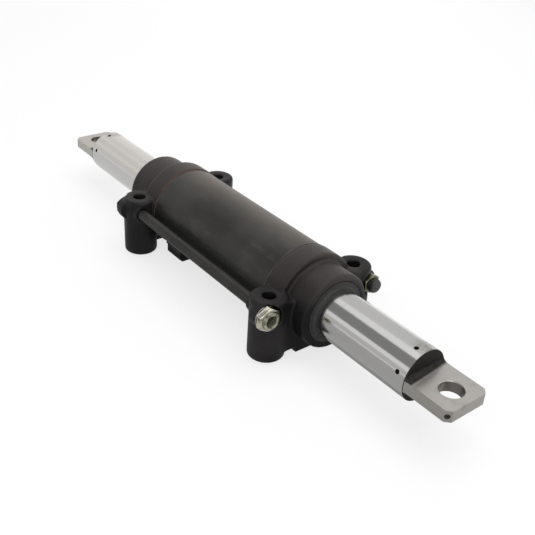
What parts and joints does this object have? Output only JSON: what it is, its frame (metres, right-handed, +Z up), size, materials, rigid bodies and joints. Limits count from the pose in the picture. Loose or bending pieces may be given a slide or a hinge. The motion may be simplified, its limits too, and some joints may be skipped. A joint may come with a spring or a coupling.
{
  "type": "double-ended power-steering cylinder",
  "caption": "Double-ended hydraulic steering cylinder: a chromed through rod with flat eyed tangs slides in a black barrel held by two cast heads on four bored feet, joined by a transfer pipe.",
  "frame": {"origin": "centre of the four foot holes, on the plane of the feet", "axes": "+X along the rod towards the head with the two adapters, +Z up from the mounting plane through the feet, +Y across, away from the transfer pipe"},
  "size_m": [0.643, 0.15, 0.0925],
  "materials": {
    "barrel_paint": "satin",
    "head_paint": "semi-gloss",
    "rod_chrome": "polished",
    "guide_iron": "machined",
    "bronze": "machined",
    "seal_rubber": "matt",
    "seal_plastic": "matt",
    "zinc": "yellow passivated",
    "steel": "machined",
    "cap_plastic": "gloss"
  },
  "bodies": {
    "cylinder": {"barrel_tube": "barrel_paint", "barrel_saddle": "barrel_paint", "transfer_pipe": "barrel_paint", "head_left": "head_paint", "head_right": "head_paint", "left_port_plugs": "head_paint", "rod_guide_left": "guide_iron", "rod_guide_right": "guide_iron", "guide_bush_left": "bronze", "guide_bush_right": "bronze", "rod_seal_left": "seal_plastic", "rod_seal_right": "seal_plastic", "rod_wiper_left": "seal_rubber", "rod_wiper_right": "seal_rubber", "barrel_o_rings": "seal_rubber", "guide_o_rings": "seal_rubber", "pipe_o_rings": "seal_rubber", "barrel_lock_screws": "steel", "near_port_adapter": "zinc", "far_port_adapter": "zinc", "far_port_cap": "cap_plastic", "port_washers": "steel"},
    "piston_rings": {"piston_seal": "seal_plastic", "piston_wear_rings": "seal_plastic"},
    "rod": {"piston_rod": "rod_chrome", "piston": "guide_iron", "piston_retaining_rings": "steel", "piston_o_ring": "seal_rubber"}
  },
  "joints": [
    {"name": "rod_slide", "type": "slide", "parent": "cylinder", "child": "piston_rings", "axis": [1, 0, 0], "range_m": [-0.066, 0.092]},
    {"name": "rod_turn", "type": "hinge", "parent": "piston_rings", "child": "rod", "pos_m": [-0.013, 0, 0.0465], "axis": [1, 0, 0], "continuous": true}
  ]
}
